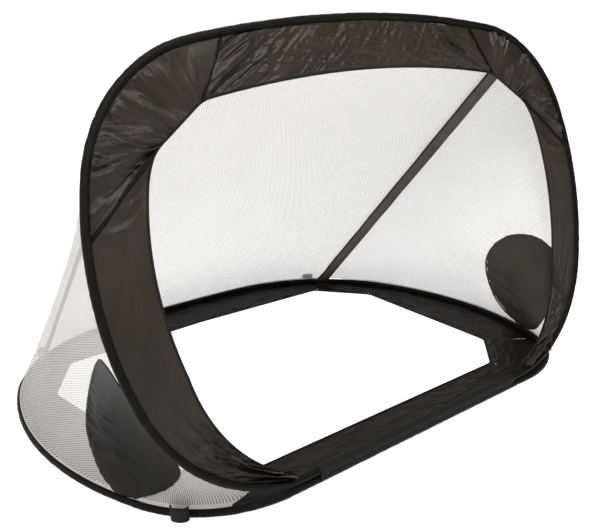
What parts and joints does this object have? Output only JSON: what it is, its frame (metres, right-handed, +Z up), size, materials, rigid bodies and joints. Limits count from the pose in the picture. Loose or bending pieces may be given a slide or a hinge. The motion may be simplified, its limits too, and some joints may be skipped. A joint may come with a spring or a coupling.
{
  "type": "pop-up goal",
  "caption": "Pop-up goal with a leaning front hoop hinged to a hoop on the ground, fabric bands round the mouth and the base, and mesh at the back and sides",
  "frame": {"origin": "on the ground, midway across the goal and midway from front to rear", "axes": "X runs across the mouth, to the right when looking in through it; Y runs to the rear; Z is up"},
  "size_m": [1.2, 0.9699, 0.7755],
  "materials": {
    "panel_fabric": "woven nylon with a soft sheen",
    "sleeve_fabric": "black woven nylon",
    "binding_fabric": "black ribbed tape",
    "mesh": "white knitted mesh",
    "patch_fabric": "dark woven nylon",
    "strut_fabric": "grey woven nylon",
    "webbing": "black polypropylene webbing",
    "spring_steel": "tempered spring strip",
    "ferrule_steel": "crimped steel",
    "strut_rod": "glass fibre rod"
  },
  "bodies": {
    "base": {"base_wire": "spring_steel", "base_wire_ferrule": "ferrule_steel", "base_sleeve": "sleeve_fabric", "base_band_front": "panel_fabric", "base_band_rear": "panel_fabric", "base_band_left": "panel_fabric", "base_band_right": "panel_fabric", "base_corner_front_left": "panel_fabric", "base_corner_front_right": "panel_fabric", "base_corner_rear_left": "panel_fabric", "base_corner_rear_right": "panel_fabric", "base_binding": "binding_fabric", "hinge_tape": "webbing", "strut_foot_tab_left": "webbing", "strut_foot_tab_right": "webbing", "peg_loop_front_left": "webbing", "peg_loop_front_right": "webbing", "peg_loop_rear_left": "webbing", "peg_loop_rear_right": "webbing", "net_back": "mesh", "net_side_left": "mesh", "net_side_right": "mesh", "patch_left": "patch_fabric", "patch_right": "patch_fabric", "strut_sleeve_left": "strut_fabric", "strut_sleeve_right": "strut_fabric", "strut_rod_left": "strut_rod", "strut_rod_right": "strut_rod"},
    "front_hoop": {"front_wire": "spring_steel", "front_wire_ferrule": "ferrule_steel", "front_sleeve": "sleeve_fabric", "front_panel_top": "panel_fabric", "front_panel_left": "panel_fabric", "front_panel_right": "panel_fabric", "front_panel_corner_left": "panel_fabric", "front_panel_corner_right": "panel_fabric", "front_binding": "binding_fabric", "strut_head_tab_left": "webbing", "strut_head_tab_right": "webbing"}
  },
  "joints": [
    {"name": "front_fold", "type": "hinge", "parent": "base", "child": "front_hoop", "pos_m": [0, -0.47646, 0.02301], "axis": [-1, 0, 0], "range_deg": [0, 70], "deforming": ["net_back", "net_side_left", "net_side_right", "patch_left", "patch_right", "strut_sleeve_left", "strut_sleeve_right", "strut_rod_left", "strut_rod_right"]}
  ]
}
